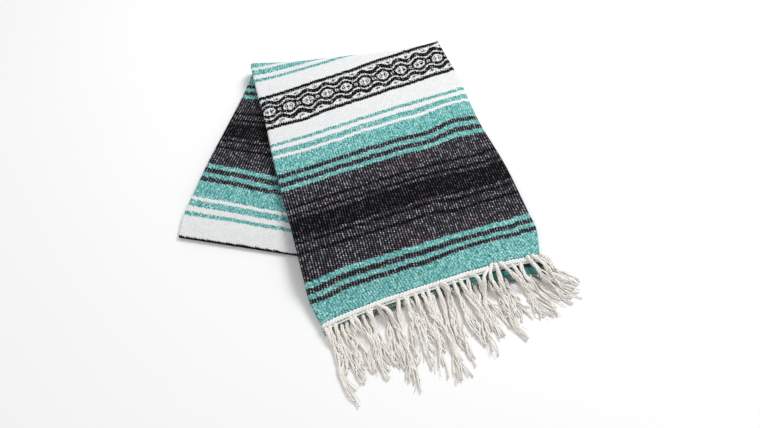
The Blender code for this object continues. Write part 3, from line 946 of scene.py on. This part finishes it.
LOWER_TASSELS = [
    Tassel(0.020, 0.020, 86, 3), Tassel(0.052, 0.064, 78, -3), Tassel(0.082, 0.090, 86, 3),
    Tassel(0.106, 0.128, 84, 3), Tassel(0.136, 0.150, 96, -4), Tassel(0.178, 0.170, 84, 4),
    Tassel(0.208, 0.208, 100, -3), Tassel(0.244, 0.250, 104, 3), Tassel(0.282, 0.280, 108, 4),
    Tassel(0.332, 0.322, 104, -4), Tassel(0.362, 0.380, 92, 4), Tassel(0.392, 0.372, 116, 4),
    Tassel(0.424, 0.420, 100, -4), Tassel(0.456, 0.480, 108, 4), Tassel(0.488, 0.450, 104, -3),
    Tassel(0.516, 0.536, 98, 4), Tassel(0.546, 0.532, 110, -3), Tassel(0.572, 0.590, 94, 5),
    Tassel(0.600, 0.632, 104, -4), Tassel(0.634, 0.662, 98, 4), Tassel(0.670, 0.684, 94, -3),
    Tassel(0.704, 0.738, 98, -4), Tassel(0.738, 0.752, 90, 4), Tassel(0.760, 0.776, 98, -3),
    Tassel(0.780, 0.800, 92, 4), Tassel(0.812, 0.846, 92, -4), Tassel(0.846, 0.896, 96, 3),
    Tassel(0.880, 0.950, 98, -3), Tassel(0.916, 1.000, 88, -3), Tassel(0.946, 1.046, 80, -3),
    Tassel(0.970, 1.080, 66, -4),
]
UPPER_SEED = 11
LOWER_SEED = 21
YARN_COUNTS = (4, 5, 5, 6)
FRAYS = 2                 # thin frayed ends in a tassel besides its yarns
FRAY_THREAD = 0.55        # radii of a frayed end and of a yarn in millimetres
YARN_THREAD = (1.25, 1.7)
FRAY_STRAY = 4.5          # how far a frayed end and a yarn stray sideways in millimetres
YARN_STRAY = 1.5
SHORTEST = 0.78           # the shortest yarn's share of its tassel's reach
YARN_STEPS = 24
YARN_SIDES = 5
TAPER = 0.32              # share of its radius that a yarn loses towards its tip
TWINED = 0.4              # share of its length over which a tassel holds together
LOW_ROOT = 2.6 * MM       # height of a root at the lower hem
FALL = 26 * MM            # an upper yarn comes down over this length past the twined edge
LOOP_HIGH = 9 * MM        # how high a looped root stands
FLOOR_CLEAR = 0.5 * MM


def yarns_of(bundle, chance, tassel, lower):
    """One tassel: yarns twined together at the root that splay and curl on the surface."""
    back = (shown(tassel.root) if lower else 0) + (2.6 - 2.2 * tassel.over) * MM
    high = LOW_ROOT if lower else UPPER[0].thick * MM / 2 + (1.2 + 5.5 * tassel.over) * MM
    crest = shown(tassel.root) + HEM_WIDE + 3 * MM
    slant = (tassel.tip - tassel.root) * width(UPPER[0])
    yarns = chance.choice(YARN_COUNTS)
    splay = chance.uniform(1.0, 3.4) * MM
    phase = chance.uniform(0, math.tau)
    twist = chance.choice((-1, 1)) * chance.uniform(1.6, 3.2)
    swerve = chance.uniform(-1, 1) * 5 * MM
    for yarn in range(yarns + FRAYS):
        frayed = yarn >= yarns
        own = chance.uniform(SHORTEST, 1.0)
        spot = math.tau * yarn / yarns + phase
        stray = chance.gauss(0, (FRAY_STRAY if frayed else YARN_STRAY) * MM)
        drift = math.cos(spot * 2 + phase) * splay + stray
        curl = chance.uniform(-1, 1) * 2.6 * MM
        wave = chance.uniform(10, 17)
        curl_phase = chance.uniform(0, math.tau)
        lift = chance.uniform(0, 2.6) * MM
        thread = (FRAY_THREAD if frayed else chance.uniform(*YARN_THREAD)) * MM
        points = []
        radii = []
        for step in range(YARN_STEPS + 1):
            share = step / YARN_STEPS
            distance = back + (tassel.reach * MM * own - back) * share
            loose = ease((share - TWINED) / (1 - TWINED))
            at_root = 1 - ease(share * 4)
            packed = (1.75 - 0.6 * loose) * MM
            turn = spot + twist * share * math.tau
            aside = slant * share + tassel.bow * MM * math.sin(share * math.pi)
            aside += swerve * math.sin(share * math.tau)
            aside += tassel.hook * MM * at_root * at_root
            aside += drift * loose + curl * math.sin(share * wave + curl_phase) * ease(share * 2)
            aside += math.cos(turn) * packed
            if lower:
                base = high * at_root + 0.9 * MM
            else:
                fall = ease((distance - crest) / FALL)
                base = high * (1 - fall) + 1.4 * MM * fall + 0.7 * MM
            if tassel.hook:
                base += LOOP_HIGH * math.sin(min(share * 3.2, 1) * math.pi)
            rise = math.sin(turn) * packed * 0.8 + lift * math.sin(share * math.pi) + packed * 0.5
            radii.append(thread * (1 - TAPER * share))
            height = max(base + rise, FLOOR_CLEAR + radii[-1])
            points.append(past_hem(tassel.root, distance, height, aside))
        bundle.add(tube_rows(points, radii, YARN_SIDES))


def fringe(name, tassels, lower, material):
    chance = random.Random(LOWER_SEED if lower else UPPER_SEED)
    bundle = Bundle()
    for tassel in tassels:
        yarns_of(bundle, chance, tassel, lower)
    return bundle.piece(name, material)


cloth = woven_cloth()
edges = hidden_cloth()
# Each yarn's first colour is partly painted shade in the ply grooves and partly its darker fibre
rope_yarn = spun_yarn("twined edge yarn", srgb(172, 192, 189), srgb(240, 244, 243), srgb(252, 250, 246))
loose_yarn = spun_yarn("fringe yarn", srgb(182, 166, 148), srgb(246, 241, 232), srgb(252, 250, 246))
# Painted shade: the lower twined edge is the same white yarn as the upper one, coloured dark teal grey as it
# lies in shade under the upper hem
shaded_edge_yarn = spun_yarn("shaded edge yarn", srgb(40, 60, 58), srgb(94, 114, 108), srgb(150, 166, 160))

upper = upper_cloth(cloth)
lower = lower_cloth(cloth)
inner = layers(edges)
upper_hem = hem_rope("upper_hem_rope", False, rope_yarn)
lower_hem = hem_rope("lower_hem_rope", True, shaded_edge_yarn)
upper_fringe = fringe("upper_fringe_yarns", UPPER_TASSELS, False, loose_yarn)
lower_fringe = fringe("lower_fringe_yarns", LOWER_TASSELS, True, loose_yarn)

for piece, node, slot in (
    (upper, "upper_stretch", "teal_cloth"),
    (lower, "lower_stretch", "charcoal_cloth"),
    (inner, "folded_layers", "teal_cloth"),
    (upper_hem, "upper_hem", "cream_cloth"),
    (lower_hem, "lower_hem", "cream_cloth"),
    (upper_fringe, "upper_fringe", "cream_cloth"),
    (lower_fringe, "lower_fringe", "cream_cloth"),
):
    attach(piece, "root")
    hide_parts(node)

# Floor, light and camera
FLOOR_HALF = 6
SURROUND = 0.57           # strength of the white light from all round
CAMERA_LENS = 29.645      # the photo's camera, found from the width and the slant of the strip
CAMERA_BACK = 0.47921
CAMERA_HIGH = 0.83002
CAMERA_TILT = 30


def area_light(name, place, aim, size, power):
    light = bpy.data.lights.new(name, "AREA")
    light.size = size
    light.energy = power
    lamp = bpy.data.objects.new(name, light)
    lamp.location = place
    lamp.rotation_euler = (Vector(aim) - Vector(place)).to_track_quat("-Z", "Y").to_euler()
    bpy.context.scene.collection.objects.link(lamp)


floor_mesh = bpy.data.meshes.new("floor")
floor_corners = [(x * FLOOR_HALF, y * FLOOR_HALF, 0) for x, y in ((-1, -1), (1, -1), (1, 1), (-1, 1))]
floor_mesh.from_pydata(floor_corners, [], [(0, 1, 2, 3)])
floor_mesh.materials.append(pale_floor())
floor = bpy.data.objects.new("floor", floor_mesh)
bpy.context.scene.collection.objects.link(floor)

world = bpy.data.worlds.new("studio")
bpy.context.scene.world = world
world.use_nodes = True
background = world.node_tree.nodes["Background"]
background.inputs["Color"].default_value = (1, 1, 1, 1)
background.inputs["Strength"].default_value = SURROUND

area_light("key", (0.9, 1.0, 1.7), (0, 0, 0), 0.8, 30)
area_light("fill", (-1.2, -0.4, 1.6), (0, 0, 0), 1.2, 3.5)

camera_data = bpy.data.cameras.new("camera")
camera_data.lens = CAMERA_LENS
camera_data.sensor_width = 36
camera = bpy.data.objects.new("camera", camera_data)
camera.location = (-FOOTPRINT_MIDDLE.x, -CAMERA_BACK - FOOTPRINT_MIDDLE.y, CAMERA_HIGH)
camera.rotation_euler = (math.radians(CAMERA_TILT), 0, 0)
bpy.context.scene.collection.objects.link(camera)
bpy.context.scene.camera = camera
bpy.context.scene.view_settings.view_transform = "Standard"
